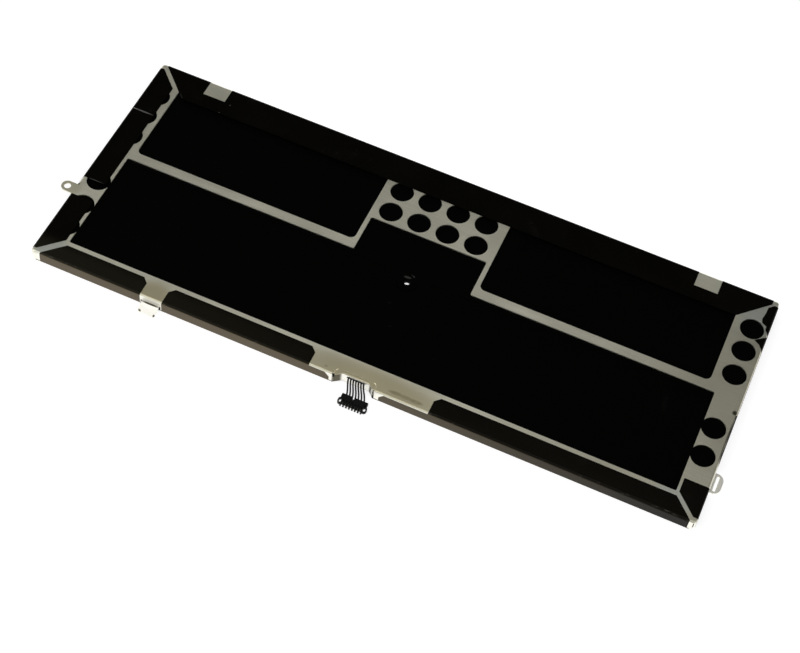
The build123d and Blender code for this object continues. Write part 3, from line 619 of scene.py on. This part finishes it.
@dataclass(frozen=True)
class PouchSkin(Finish):
    """Deep black laminate of the pouch cells, nearly without gloss, with faint scuffs."""

    slot: str = "cell_pouch"
    base: Colour = (0.0004, 0.0004, 0.0003)
    worn: Colour = (0.006, 0.006, 0.005)
    swell: Noise = Noise(24.0)
    crinkle: Noise = Noise(1.4, 3.0)
    streak: Noise = Noise(0.7, offset=(3.0, 5.0, 0.0))
    streak_range: tuple[float, float] = (0.3, 0.7)
    gloss: float = 0.5
    gloss_swing: float = 0.1
    swell_share: float = 0.9
    swell_rise: float = 0.08
    specular: float = 0.02
    scuffs: tuple[Mark, ...] = (
        Mark(98.5, -6.9, 1.2, 4.6, 8.0, 0.5),
        Mark(87.0, -6.4, 0.8, 0.5, 30.0, 0.6),
        Mark(11.4, -13.5, 0.7, 0.4, 0.0, 0.6),
        Mark(21.0, -25.4, 0.8, 0.4, 60.0, 0.5),
        Mark(-10.0, -32.9, 0.8, 0.5, 0.0, 0.6),
        Mark(-11.0, -0.9, 0.6, 0.4, 20.0, 0.6),
    )

    def paint(self, shader: Shader) -> None:
        """Even black with scuffs and a shallow embossed unevenness."""
        swell = shader.noise(self.swell)
        crinkle = shader.noise(self.crinkle)
        streak = shader.noise(self.streak).ramp(*self.streak_range)
        scuffed = marks_mask(shader, self.scuffs) * streak
        height = swell * self.swell_share + crinkle * (1 - self.swell_share)
        shader.surface(
            {
                "Base Color": shader.mix(scuffed, self.base, self.worn),
                "Roughness": self.gloss + swell.swing(self.gloss_swing) + crinkle.swing(self.gloss_swing),
                "Specular IOR Level": self.specular,
                "Normal": shader.bump(height, self.swell_rise),
            }
        )


@dataclass(frozen=True)
class ClothTape(Finish):
    """Matt black tape with a fine tooth."""

    slot: str = "cover_tape"
    base: Colour = (0.0004, 0.0004, 0.0003)
    worn: Colour = (0.007, 0.007, 0.006)
    warp: Noise = Noise(0.4, 1.0, stretch=(1.0, 0.08, 1.0))
    weft: Noise = Noise(0.4, 1.0, stretch=(0.08, 1.0, 1.0))
    gloss: float = 0.62
    gloss_swing: float = 0.2
    thread_rise: float = 0.01
    specular: float = 0.02
    scuffs: tuple[Mark, ...] = (
        Mark(-2.0, -10.9, 0.6, 0.4, 0.0, 0.6),
        Mark(2.0, -19.9, 0.5, 0.5, 0.0, 0.6),
    )

    def paint(self, shader: Shader) -> None:
        """Black with a tight thread pattern and rubbed spots."""
        thread = (shader.noise(self.warp) + shader.noise(self.weft)) / 2
        scuffed = marks_mask(shader, self.scuffs)
        shader.surface(
            {
                "Base Color": shader.mix(scuffed, self.base, self.worn),
                "Roughness": self.gloss + thread.swing(self.gloss_swing),
                "Specular IOR Level": self.specular,
                "Normal": shader.bump(thread, self.thread_rise),
            }
        )


@dataclass(frozen=True)
class MouldedPlastic(Finish):
    """Black moulded plastic with a fine spark texture and pale spots on the boss that are partly rubbed wear
    and partly painted glints on its rim.
    """

    slot: str = "carrier_plastic"
    base: Colour = (0.0004, 0.0004, 0.0003)
    worn: Colour = (0.06, 0.058, 0.054)
    spark: Noise = Noise(0.12)
    cloud: Noise = Noise(3.0, 3.0)
    gloss: float = 0.55
    gloss_swings: tuple[float, float] = (0.16, 0.1)
    spark_rise: float = 0.004
    specular: float = 0.02
    # pale spots on the centre boss: partly rubbed wear, partly painted glints on its rim
    scuffs: tuple[Mark, ...] = (
        Mark(-0.6, 2.0, 1.7, 0.6, 5.0, 0.6),
        Mark(-2.33, 3.34, 0.4, 0.5, 0.0, 0.6),
        Mark(0.56, 3.58, 0.5, 0.3, 0.0, 0.4),
        Mark(1.29, 3.22, 0.5, 0.45, 0.0, 0.6),
    )

    def paint(self, shader: Shader) -> None:
        """Black with texture, and scuffs that are partly painted glints."""
        spark = shader.noise(self.spark)
        cloud = shader.noise(self.cloud)
        cloud_swing, spark_swing = self.gloss_swings
        scuffed = marks_mask(shader, self.scuffs)
        shader.surface(
            {
                "Base Color": shader.mix(scuffed, self.base, self.worn),
                "Roughness": self.gloss + cloud.swing(cloud_swing) + spark.swing(spark_swing),
                "Specular IOR Level": self.specular,
                "Normal": shader.bump(spark, self.spark_rise),
            }
        )


@dataclass(frozen=True)
class LeadSleeve(Finish):
    """Smooth black insulation of the leads."""

    slot: str = "lead_sleeve"
    base: Colour = (0.004, 0.004, 0.0037)
    bloom: Colour = (0.014, 0.014, 0.013)
    cloud: Noise = Noise(1.1, 3.0)
    bloom_range: tuple[float, float] = (0.45, 0.8)
    gloss: float = 0.38
    gloss_swing: float = 0.2
    cloud_rise: float = 0.004
    specular: float = 0.3

    def paint(self, shader: Shader) -> None:
        """Black with a slight bloom."""
        cloud = shader.noise(self.cloud)
        shader.surface(
            {
                "Base Color": shader.mix(cloud.ramp(*self.bloom_range), self.base, self.bloom),
                "Roughness": self.gloss + cloud.swing(self.gloss_swing),
                "Specular IOR Level": self.specular,
                "Normal": shader.bump(cloud, self.cloud_rise),
            }
        )


@dataclass(frozen=True)
class BrightMetal(Finish):
    """Plated strip metal with drawing lines along one axis."""

    slot: str = "tab_nickel"
    dark: Colour = (0.45, 0.43, 0.39)
    light: Colour = (0.70, 0.68, 0.63)
    line: Noise = Noise(0.25, stretch=(0.1, 1.0, 1.0))
    cloud: Noise = Noise(2.5, 3.0)
    plain_tone: float = 0.5
    tone_swings: tuple[float, float] = (1.2, 0.6)
    gloss: float = 0.3
    gloss_swing: float = 0.2
    line_rise: float = 0.003

    def paint(self, shader: Shader) -> None:
        """Metal with lines and a cloudy tone."""
        line = shader.noise(self.line)
        cloud = shader.noise(self.cloud)
        cloud_swing, line_swing = self.tone_swings
        tone = self.plain_tone + cloud.swing(cloud_swing) + line.swing(line_swing)
        tone = tone.ramp(0.0, 1.0, Easing.LINEAR)
        shader.surface(
            {
                "Base Color": shader.mix(tone, self.dark, self.light),
                "Metallic": 1.0,
                "Roughness": self.gloss + line.swing(self.gloss_swing),
                "Normal": shader.bump(line, self.line_rise),
            }
        )


@dataclass(frozen=True)
class AmberFlex(Finish):
    """Amber polyimide strip with copper runs showing through."""

    slot: str = "flex_strip"
    film: Colour = (0.32, 0.12, 0.018)
    copper: Colour = (0.46, 0.20, 0.05)
    cloud: Noise = Noise(4.0, 3.0)
    gloss: float = 0.24
    gloss_swing: float = 0.15
    coat: float = 0.3
    run_pitch: float = 3.2
    run_start: tuple[float, float] = (0.12, 0.18)
    run_end: tuple[float, float] = (0.88, 0.82)
    run_share: float = 0.7
    run_rise: float = 0.015

    def paint(self, shader: Shader) -> None:
        """Copper runs along the strip under amber film."""
        x, _, _ = shader.axes()
        cloud = shader.noise(self.cloud)
        phase = x / self.run_pitch
        saw = phase - phase.floor()
        run = saw.ramp(*self.run_start) * saw.ramp(*self.run_end)
        height = run * self.run_share + cloud * (1 - self.run_share)
        shader.surface(
            {
                "Base Color": shader.mix(run, self.film, self.copper),
                "Roughness": self.gloss + cloud.swing(self.gloss_swing),
                "Coat Weight": self.coat,
                "Normal": shader.bump(height, self.run_rise),
            }
        )


@dataclass(frozen=True)
class PadFoam(Finish):
    """Dark grey closed-cell foam."""

    slot: str = "pad_foam"
    wall: Colour = (0.035, 0.036, 0.038)
    # painted shade: the pores are darker than the cell walls
    pore_shade: Colour = (0.012, 0.012, 0.013)
    pore_size: float = 0.35
    pore_range: tuple[float, float] = (0.15, 0.6)
    pore_rise: float = 0.06
    gloss: float = 0.8
    pore_roughness: float = 0.1
    specular: float = 0.25

    def paint(self, shader: Shader) -> None:
        """Rounded pores between thin walls, the pores darkened with painted shade."""
        sockets = {"Vector": shader.place(), "Scale": 1.0 / self.pore_size}
        pores = Signal(shader, shader.node(Kind.CELLS, {}, sockets).outputs["Distance"])
        depth = pores.ramp(*self.pore_range)
        shader.surface(
            {
                "Base Color": shader.mix(depth, self.pore_shade, self.wall),
                "Roughness": self.gloss + depth * self.pore_roughness,
                "Specular IOR Level": self.specular,
                "Normal": shader.bump(depth, self.pore_rise),
            }
        )


@dataclass(frozen=True)
class BoardLaminate(Finish):
    """Green solder resist over copper runs and glass cloth."""

    slot: str = "board_laminate"
    resist: Colour = (0.008, 0.06, 0.024)
    over_copper: Colour = (0.02, 0.115, 0.045)
    cloth: Noise = Noise(0.3, 1.0, stretch=(1.0, 0.15, 1.0))
    gloss: float = 0.3
    gloss_swing: float = 0.15
    coat: float = 0.25
    run_size: tuple[float, float] = (5.5, 1.5)
    run_gap: float = 0.12
    run_blur: float = 0.2
    run_share: float = 0.8
    run_rise: float = 0.03

    def paint(self, shader: Shader) -> None:
        """Blocks of copper under the resist, with a faint cloth weave."""
        sockets = {
            "Vector": shader.place(),
            "Scale": 1.0,
            "Mortar Size": self.run_gap,
            "Mortar Smooth": self.run_blur,
            "Brick Width": self.run_size[0],
            "Row Height": self.run_size[1],
        }
        gap = Signal(shader, shader.node(Kind.BRICKS, {}, sockets).outputs["Fac"])
        cloth = shader.noise(self.cloth)
        copper = 1 - gap
        height = copper * self.run_share + cloth * (1 - self.run_share)
        shader.surface(
            {
                "Base Color": shader.mix(copper, self.resist, self.over_copper),
                "Roughness": self.gloss + cloth.swing(self.gloss_swing),
                "Coat Weight": self.coat,
                "Normal": shader.bump(height, self.run_rise),
            }
        )


@dataclass(frozen=True)
class BarrierPaper(Finish):
    """Grey-green pressed insulating paper."""

    slot: str = "barrier_paper"
    base: Colour = (0.10, 0.115, 0.10)
    fibre: Colour = (0.19, 0.205, 0.18)
    long_fibre: Noise = Noise(0.5, 3.0, 0.6, stretch=(0.2, 1.0, 1.0))
    cross_fibre: Noise = Noise(0.5, 3.0, 0.6, stretch=(1.0, 0.2, 1.0), offset=(8.0, 0.0, 0.0))
    fibre_range: tuple[float, float] = (0.45, 0.75)
    fibre_rise: float = 0.02
    gloss: float = 0.72
    gloss_swing: float = 0.2
    specular: float = 0.3

    def paint(self, shader: Shader) -> None:
        """Crossed fibres in a matt sheet."""
        fibre = shader.noise(self.long_fibre).most(shader.noise(self.cross_fibre))
        shader.surface(
            {
                "Base Color": shader.mix(fibre.ramp(*self.fibre_range), self.base, self.fibre),
                "Roughness": self.gloss + fibre.swing(self.gloss_swing),
                "Specular IOR Level": self.specular,
                "Normal": shader.bump(fibre, self.fibre_rise),
            }
        )


@dataclass(frozen=True)
class ChipEpoxy(Finish):
    """Charcoal moulding compound of the chips."""

    slot: str = "chip_epoxy"
    base: Colour = (0.012, 0.012, 0.013)
    filler: Colour = (0.03, 0.03, 0.031)
    grain: Noise = Noise(0.09)
    grain_range: tuple[float, float] = (0.4, 0.75)
    grain_rise: float = 0.006
    gloss: float = 0.55
    gloss_swing: float = 0.2
    specular: float = 0.4

    def paint(self, shader: Shader) -> None:
        """Fine filler grains."""
        grain = shader.noise(self.grain)
        shader.surface(
            {
                "Base Color": shader.mix(grain.ramp(*self.grain_range), self.base, self.filler),
                "Roughness": self.gloss + grain.swing(self.gloss_swing),
                "Specular IOR Level": self.specular,
                "Normal": shader.bump(grain, self.grain_rise),
            }
        )


@dataclass(frozen=True)
class FuseCeramic(Finish):
    """Pale fired ceramic."""

    slot: str = "fuse_ceramic"
    base: Colour = (0.46, 0.44, 0.39)
    speck: Colour = (0.30, 0.27, 0.22)
    grain: Noise = Noise(0.16, 3.0)
    grain_range: tuple[float, float] = (0.55, 0.8)
    grain_rise: float = 0.008
    gloss: float = 0.5
    gloss_swing: float = 0.2

    def paint(self, shader: Shader) -> None:
        """Pale body with darker grains."""
        grain = shader.noise(self.grain)
        shader.surface(
            {
                "Base Color": shader.mix(grain.ramp(*self.grain_range), self.base, self.speck),
                "Roughness": self.gloss + grain.swing(self.gloss_swing),
                "Normal": shader.bump(grain, self.grain_rise),
            }
        )


class Edge(Enum):
    """How far the sharp edges of a kind of piece are rounded, in millimetres."""

    SHEARED = 0.07
    MOULDED = 0.06
    PRESSED = 0.35


@dataclass
class Assembly:
    """Nodes of one sub-assembly that share a finish, in millimetres and degrees."""

    finish: Finish
    nodes: tuple[str, ...]
    weld_gap: float = 0.001
    flat_angle: float = 0.5
    sharp_angle: float = 35.0
    edge_steps: int = 2

    def dress(self) -> None:
        """Give every node the finish."""
        material = self.finish.material()
        for name in self.nodes:
            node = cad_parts[name]
            node.data.materials.clear()
            node.data.materials.append(material)
            LOG.info("dressed %s in %s", name, self.finish.slot)

    def round_edges(self, edge: Edge) -> None:
        """Round the sharp edges with live modifiers, so that they catch the light.

        Args:
            edge: how far they are rounded.
        """
        for name in self.nodes:
            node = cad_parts[name]
            weld = node.modifiers.new("joined", "WELD")
            weld.merge_threshold = self.weld_gap * MM
            flat = node.modifiers.new("flat_faces", "DECIMATE")
            flat.decimate_type = "DISSOLVE"
            flat.angle_limit = math.radians(self.flat_angle)
            rounded = node.modifiers.new("rounded", "BEVEL")
            rounded.width = edge.value * MM
            rounded.segments = self.edge_steps
            rounded.limit_method = "ANGLE"
            rounded.angle_limit = math.radians(self.sharp_angle)
            rounded.harden_normals = False
            shaded = node.modifiers.new("shaded", "WEIGHTED_NORMAL")
            shaded.keep_sharp = True


@dataclass
class Leads:
    """Seven round leads from the board to the plug, in millimetres."""

    finish: Finish = field(default_factory=LeadSleeve)
    count: int = 7
    diameter: float = 0.6
    board_x: float = 0.45
    board_pitch: float = 0.92
    plug_x: float = 2.95
    plug_pitch: float = 1.08
    start_y: float = -43.3
    bend_y: float = -45.45
    entry_y: float = -49.65
    end_y: float = -51.3
    board_z: float = 3.02
    plug_z: float = 0.8
    sides: int = 6
    curve_order: int = 3
    curve_steps: int = 10

    def route(self, number: int) -> tuple[Point, ...]:
        """Control points of a lead.

        Args:
            number: the lead, counted from 0 on the left.

        Returns:
            Four points, in millimetres.
        """
        step = number - (self.count - 1) / 2
        start_x = self.board_x + self.board_pitch * step
        end_x = self.plug_x + self.plug_pitch * step
        return (
            (start_x, self.start_y, self.board_z),
            (start_x, self.bend_y, self.board_z),
            (end_x, self.entry_y, self.plug_z),
            (end_x, self.end_y, self.plug_z),
        )

    def build(self) -> None:
        """Make each lead as a smooth tube in place of its plain solid."""
        material = self.finish.material()
        for number in range(self.count):
            name = f"lead_sleeve_{number + 1}"
            curve = bpy.data.curves.new(name, "CURVE")
            curve.dimensions = "3D"
            curve.bevel_depth = self.diameter / 2 * MM
            curve.bevel_resolution = self.sides
            curve.use_fill_caps = True
            points = self.route(number)
            spline = curve.splines.new("NURBS")
            spline.points.add(len(points) - 1)
            for target, point in zip(spline.points, points):
                target.co = (*(Vector(point) * MM), 1.0)
            spline.order_u = self.curve_order
            spline.use_endpoint_u = True
            spline.resolution_u = self.curve_steps
            curve.materials.append(material)
            lead = bpy.data.objects.new(name, curve)
            bpy.context.scene.collection.objects.link(lead)
            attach(lead, BODY)
            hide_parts(f"lead_{number + 1}")
            LOG.info("built %s", name)


@dataclass(frozen=True)
class Lamp:
    """A soft rectangular lamp that points at the object."""

    name: str
    place: Point
    size: tuple[float, float]
    power: float

    def build(self) -> None:
        """Add the lamp."""
        light = bpy.data.lights.new(self.name, "AREA")
        light.shape = "RECTANGLE"
        light.size, light.size_y = self.size
        light.energy = self.power
        lamp = bpy.data.objects.new(self.name, light)
        lamp.location = self.place
        lamp.rotation_mode = "QUATERNION"
        lamp.rotation_quaternion = (-Vector(self.place)).to_track_quat("-Z", "Y")
        bpy.context.scene.collection.objects.link(lamp)


@dataclass
class Studio:
    """Camera, floor, lamps and surroundings, in metres."""

    camera_place: Point = (0.103778, -0.360753, 0.507857)
    camera_aim: Point = (0.005348, -0.018772, 0.0044)
    camera_roll: float = 8.8148
    lens: float = 80.723
    sensor: float = 36.0
    nearest: float = 0.01
    farthest: float = 20.0
    floor_size: float = 4.0
    floor_level: float = -0.00004
    floor_colour: Colour = (0.42, 0.42, 0.42)
    floor_glow: float = 0.78
    horizon_glow: float = 1.0
    zenith_glow: float = 0.04
    horizon_top: float = 0.12
    zenith_bottom: float = 0.60
    lamps: tuple[Lamp, ...] = (
        Lamp("top_lamp", (-0.20, -0.10, 1.4), (1.4, 1.4), 7.2),
        Lamp("left_lamp", (-1.25, -0.75, 1.15), (1.1, 1.1), 8.0),
        Lamp("right_lamp", (1.35, -0.35, 1.05), (1.0, 1.0), 5.5),
    )

    def build(self) -> None:
        """Set up everything round the object."""
        self.build_camera()
        self.build_floor()
        self.build_world()
        for lamp in self.lamps:
            lamp.build()
            LOG.info("set up %s", lamp.name)
        bpy.context.scene.view_settings.view_transform = "Standard"

    def build_camera(self) -> None:
        """Place the camera as the photograph was taken."""
        place = Vector(self.camera_place)
        ahead = (Vector(self.camera_aim) - place).normalized()
        level = ahead.cross(Vector((0.0, 0.0, 1.0))).normalized()
        upright = level.cross(ahead)
        roll = math.radians(self.camera_roll)
        right = level * math.cos(roll) + upright * math.sin(roll)
        up = upright * math.cos(roll) - level * math.sin(roll)
        data = bpy.data.cameras.new("camera")
        data.sensor_fit = "HORIZONTAL"
        data.sensor_width = self.sensor
        data.lens = self.lens
        data.clip_start = self.nearest
        data.clip_end = self.farthest
        camera = bpy.data.objects.new("camera", data)
        turned = Matrix((right, up, -ahead)).transposed()
        camera.matrix_world = Matrix.Translation(place) @ turned.to_4x4()
        bpy.context.scene.collection.objects.link(camera)
        bpy.context.scene.camera = camera

    def build_floor(self) -> None:
        """Lay the pale floor, which shows white and keeps the object's shadow."""
        shape = bmesh.new()
        bmesh.ops.create_grid(shape, x_segments=1, y_segments=1, size=self.floor_size / 2)
        bmesh.ops.translate(shape, verts=shape.verts, vec=(0.0, 0.0, self.floor_level))
        mesh = bpy.data.meshes.new("floor")
        shape.to_mesh(mesh)
        shape.free()
        material = bpy.data.materials.new("floor_paper")
        material.use_nodes = True
        shader = Shader(material.node_tree)
        path = shader.node(Kind.LIGHT_PATH)
        seen = Signal(shader, path.outputs["Is Camera Ray"])
        seen = seen.most(Signal(shader, path.outputs["Is Glossy Ray"]))
        seen = seen.most(Signal(shader, path.outputs["Is Transmission Ray"]))
        paper = shader.node(Kind.DIFFUSE, {}, {"Color": self.floor_colour})
        glow = shader.node(Kind.EMISSION, {}, {"Color": WHITE, "Strength": seen * self.floor_glow})
        both = shader.node(Kind.ADD_SHADER, {}, {0: paper.outputs[0], 1: glow.outputs[0]})
        shader.node(Kind.OUTPUT, {}, {"Surface": both.outputs[0]})
        mesh.materials.append(material)
        floor = bpy.data.objects.new("floor", mesh)
        bpy.context.scene.collection.objects.link(floor)

    def build_world(self) -> None:
        """Surround the scene with a pale horizon under a dimmer ceiling."""
        world = bpy.data.worlds.new("surroundings")
        world.use_nodes = True
        shader = Shader(world.node_tree)
        towards = shader.node(Kind.COORDINATES).outputs["Generated"]
        height = Signal(shader, shader.node(Kind.SPLIT, {}, {"Vector": towards}).outputs[2])
        upper = height.ramp(self.horizon_top, self.zenith_bottom)
        glow = self.horizon_glow + upper * (self.zenith_glow - self.horizon_glow)
        sky = shader.node(Kind.BACKGROUND, {}, {"Color": WHITE, "Strength": glow})
        shader.node(Kind.WORLD_OUTPUT, {}, {"Surface": sky.outputs[0]})
        bpy.context.scene.world = world


ROWS = ("upper", "lower")
SIDES = ("left", "right")
POLARITIES = ("negative", "positive")
CAPACITOR_COUNT = 4
CONTACT_COUNT = 7
CELLS = tuple(f"{row}_{side}_cell" for row in ROWS for side in SIDES)
TABS = tuple(f"{cell.removesuffix('_cell')}_{polarity}_tab" for cell in CELLS for polarity in POLARITIES)
CAPACITORS = tuple(f"filter_capacitor_{number + 1}" for number in range(CAPACITOR_COUNT))
CONTACTS = tuple(f"plug_contact_{number + 1}" for number in range(CONTACT_COUNT))


def main() -> None:
    """Build and dress every sub-assembly, then the studio."""
    logging.basicConfig(level=logging.INFO, format="%(name)s: %(message)s")
    tray = Assembly(RolledSteel(), ("tray",))
    tray.dress()
    tray.round_edges(Edge.SHEARED)
    Assembly(WrapFilm(), ("wrap_film",)).dress()
    cells = Assembly(PouchSkin(), CELLS)
    cells.dress()
    cells.round_edges(Edge.PRESSED)
    Assembly(ClothTape(), ("cover_tape",)).dress()
    carrier = Assembly(MouldedPlastic(), ("centre_carrier",))
    carrier.dress()
    carrier.round_edges(Edge.MOULDED)
    Assembly(BrightMetal(), TABS).dress()
    Assembly(AmberFlex(), ("link_flex",)).dress()
    Assembly(PadFoam(), ("board_pad",)).dress()
    Assembly(BoardLaminate(), ("protection_board",)).dress()
    Assembly(BarrierPaper(), ("board_insulator",)).dress()
    Assembly(ChipEpoxy(), ("controller_chip", "charge_switch", "discharge_switch")).dress()
    Assembly(FuseCeramic(), ("chip_fuse", "sense_resistor", *CAPACITORS)).dress()
    plug_finish = MouldedPlastic("plug_plastic", (0.0016, 0.0015, 0.0012), gloss=0.42, specular=0.16)
    plug = Assembly(plug_finish, ("plug_housing",))
    plug.dress()
    plug.round_edges(Edge.MOULDED)
    contact_finish = BrightMetal(
        "contact_metal",
        (0.42, 0.36, 0.24),
        (0.68, 0.60, 0.42),
        line=Noise(0.25, stretch=(1.0, 0.1, 1.0)),
        gloss=0.28,
    )
    Assembly(contact_finish, CONTACTS).dress()
    Leads().build()
    Studio().build()


if __name__ == "__main__":
    main()
